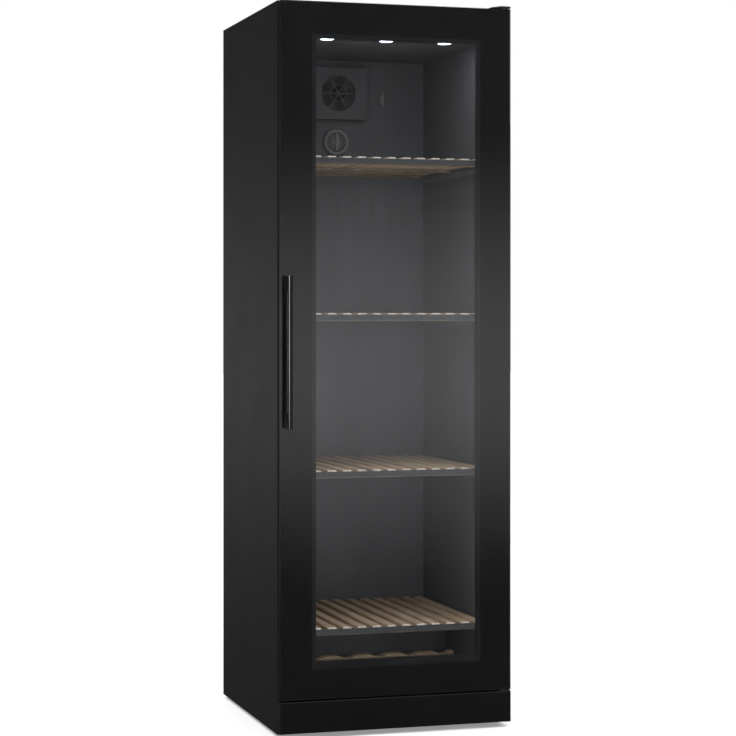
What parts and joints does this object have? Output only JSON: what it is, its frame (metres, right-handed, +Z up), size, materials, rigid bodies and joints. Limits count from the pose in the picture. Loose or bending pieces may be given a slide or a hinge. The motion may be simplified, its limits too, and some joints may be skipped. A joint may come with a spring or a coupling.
{
  "type": "wine cooler",
  "caption": "Tall freestanding wine cooler with a full-height glass door in a black border, slim bar handle, slatted wooden shelves, ceiling spotlights and a kick plate.",
  "frame": {"origin": "on the floor, under the middle of the box around the whole cooler with its handle", "axes": "+Z up, the door faces -Y, +X to the right as seen from the front"},
  "size_m": [0.595, 0.656, 1.805],
  "materials": {
    "cabinet_steel": "satin",
    "zinc_steel": "satin",
    "condenser_black": "satin",
    "frame_plastic": "matte",
    "liner_plastic": "satin",
    "foam": "matte",
    "shelf_wood": "satin",
    "trim_metal": "satin",
    "rail_plastic": "matte",
    "lamp_lens": "gloss",
    "display": "gloss",
    "button_plastic": "satin",
    "rubber": "matte",
    "seal_rubber": "matte",
    "copper": "satin",
    "aluminium": "satin",
    "door_aluminium": "satin",
    "handle_aluminium": "satin",
    "compressor_paint": "satin",
    "outer_glass": "gloss",
    "inner_glass": "gloss",
    "border_print": "gloss",
    "screw_steel": "satin",
    "bearing_plastic": "satin",
    "filter_plastic": "satin",
    "tray_plastic": "matte",
    "roller_plastic": "matte"
  },
  "bodies": {
    "cabinet": {"side_panel_left": "cabinet_steel", "side_panel_right": "cabinet_steel", "top_panel": "cabinet_steel", "rear_panel": "cabinet_steel", "machine_hood": "zinc_steel", "base_pan": "zinc_steel", "foam_insulation": "foam", "front_frame": "frame_plastic", "inner_liner": "liner_plastic", "plinth": "cabinet_steel", "rear_grille": "frame_plastic", "hinge_brackets": "zinc_steel", "hinge_pins": "screw_steel", "hinge_cover": "frame_plastic", "hinge_screws": "screw_steel", "shelf_rails": "rail_plastic", "shelf_slats_1": "shelf_wood", "shelf_slats_2": "shelf_wood", "shelf_slats_3": "shelf_wood", "shelf_slats_4": "shelf_wood", "shelf_trims": "trim_metal", "bottle_cradle": "shelf_wood", "light_bar": "trim_metal", "led_lenses": "lamp_lens", "control_panel": "frame_plastic", "display_lens": "display", "fan_housing": "liner_plastic", "fan_motor": "frame_plastic", "evaporator_plate": "aluminium", "air_sensor": "filter_plastic", "compressor": "compressor_paint", "compressor_grommets": "rubber", "condenser_coil": "condenser_black", "condenser_wires": "condenser_black", "filter_drier": "copper", "refrigerant_pipes": "copper", "drip_tray": "tray_plastic", "drain_tube": "bearing_plastic", "power_box": "tray_plastic", "power_inlet": "frame_plastic", "roller_brackets": "zinc_steel"},
    "door": {"outer_glass": "outer_glass", "border_print": "border_print", "door_frame": "door_aluminium", "spacer_bar": "frame_plastic", "inner_glass": "inner_glass", "door_gasket": "seal_rubber", "handle_bar": "handle_aluminium", "handle_posts": "handle_aluminium", "handle_screws": "screw_steel", "door_bushes": "bearing_plastic"},
    "button_down": {"button_down": "button_plastic"},
    "button_light": {"button_light": "button_plastic"},
    "button_up": {"button_up": "button_plastic"},
    "charcoal_filter": {"charcoal_filter": "filter_plastic"},
    "fan_rotor": {"fan_rotor": "frame_plastic"},
    "foot_left": {"foot_left": "rubber"},
    "foot_right": {"foot_right": "rubber"},
    "roller_left": {"roller_left": "roller_plastic"},
    "roller_right": {"roller_right": "roller_plastic"}
  },
  "joints": [
    {"name": "door_hinge", "type": "hinge", "parent": "cabinet", "child": "door", "pos_m": [0.282, -0.281, 0.95], "axis": [0, 0, 1], "range_deg": [0, 115]},
    {"name": "fan_spin", "type": "hinge", "parent": "cabinet", "child": "fan_rotor", "pos_m": [0, 0.246, 1.63], "axis": [0, 1, 0], "continuous": true},
    {"name": "filter_twist", "type": "hinge", "parent": "cabinet", "child": "charcoal_filter", "pos_m": [0, 0.262, 1.5], "axis": [0, 1, 0], "range_deg": [0, 60]},
    {"name": "button_up_press", "type": "slide", "parent": "cabinet", "child": "button_up", "axis": [0, 1, 0], "range_m": [0, 0.0015], "stiffness_N_per_m": 600},
    {"name": "button_down_press", "type": "slide", "parent": "cabinet", "child": "button_down", "axis": [0, 1, 0], "range_m": [0, 0.0015], "stiffness_N_per_m": 600},
    {"name": "button_light_press", "type": "slide", "parent": "cabinet", "child": "button_light", "axis": [0, 1, 0], "range_m": [0, 0.0015], "stiffness_N_per_m": 600},
    {"name": "foot_left_screw", "type": "slide", "parent": "cabinet", "child": "foot_left", "axis": [0, 0, -1], "range_m": [0, 0.02]},
    {"name": "foot_right_screw", "type": "slide", "parent": "cabinet", "child": "foot_right", "axis": [0, 0, -1], "range_m": [0, 0.02]},
    {"name": "roller_left_spin", "type": "hinge", "parent": "cabinet", "child": "roller_left", "pos_m": [-0.2405, 0.262, 0.02], "axis": [1, 0, 0], "continuous": true},
    {"name": "roller_right_spin", "type": "hinge", "parent": "cabinet", "child": "roller_right", "pos_m": [0.2405, 0.262, 0.02], "axis": [1, 0, 0], "continuous": true}
  ]
}
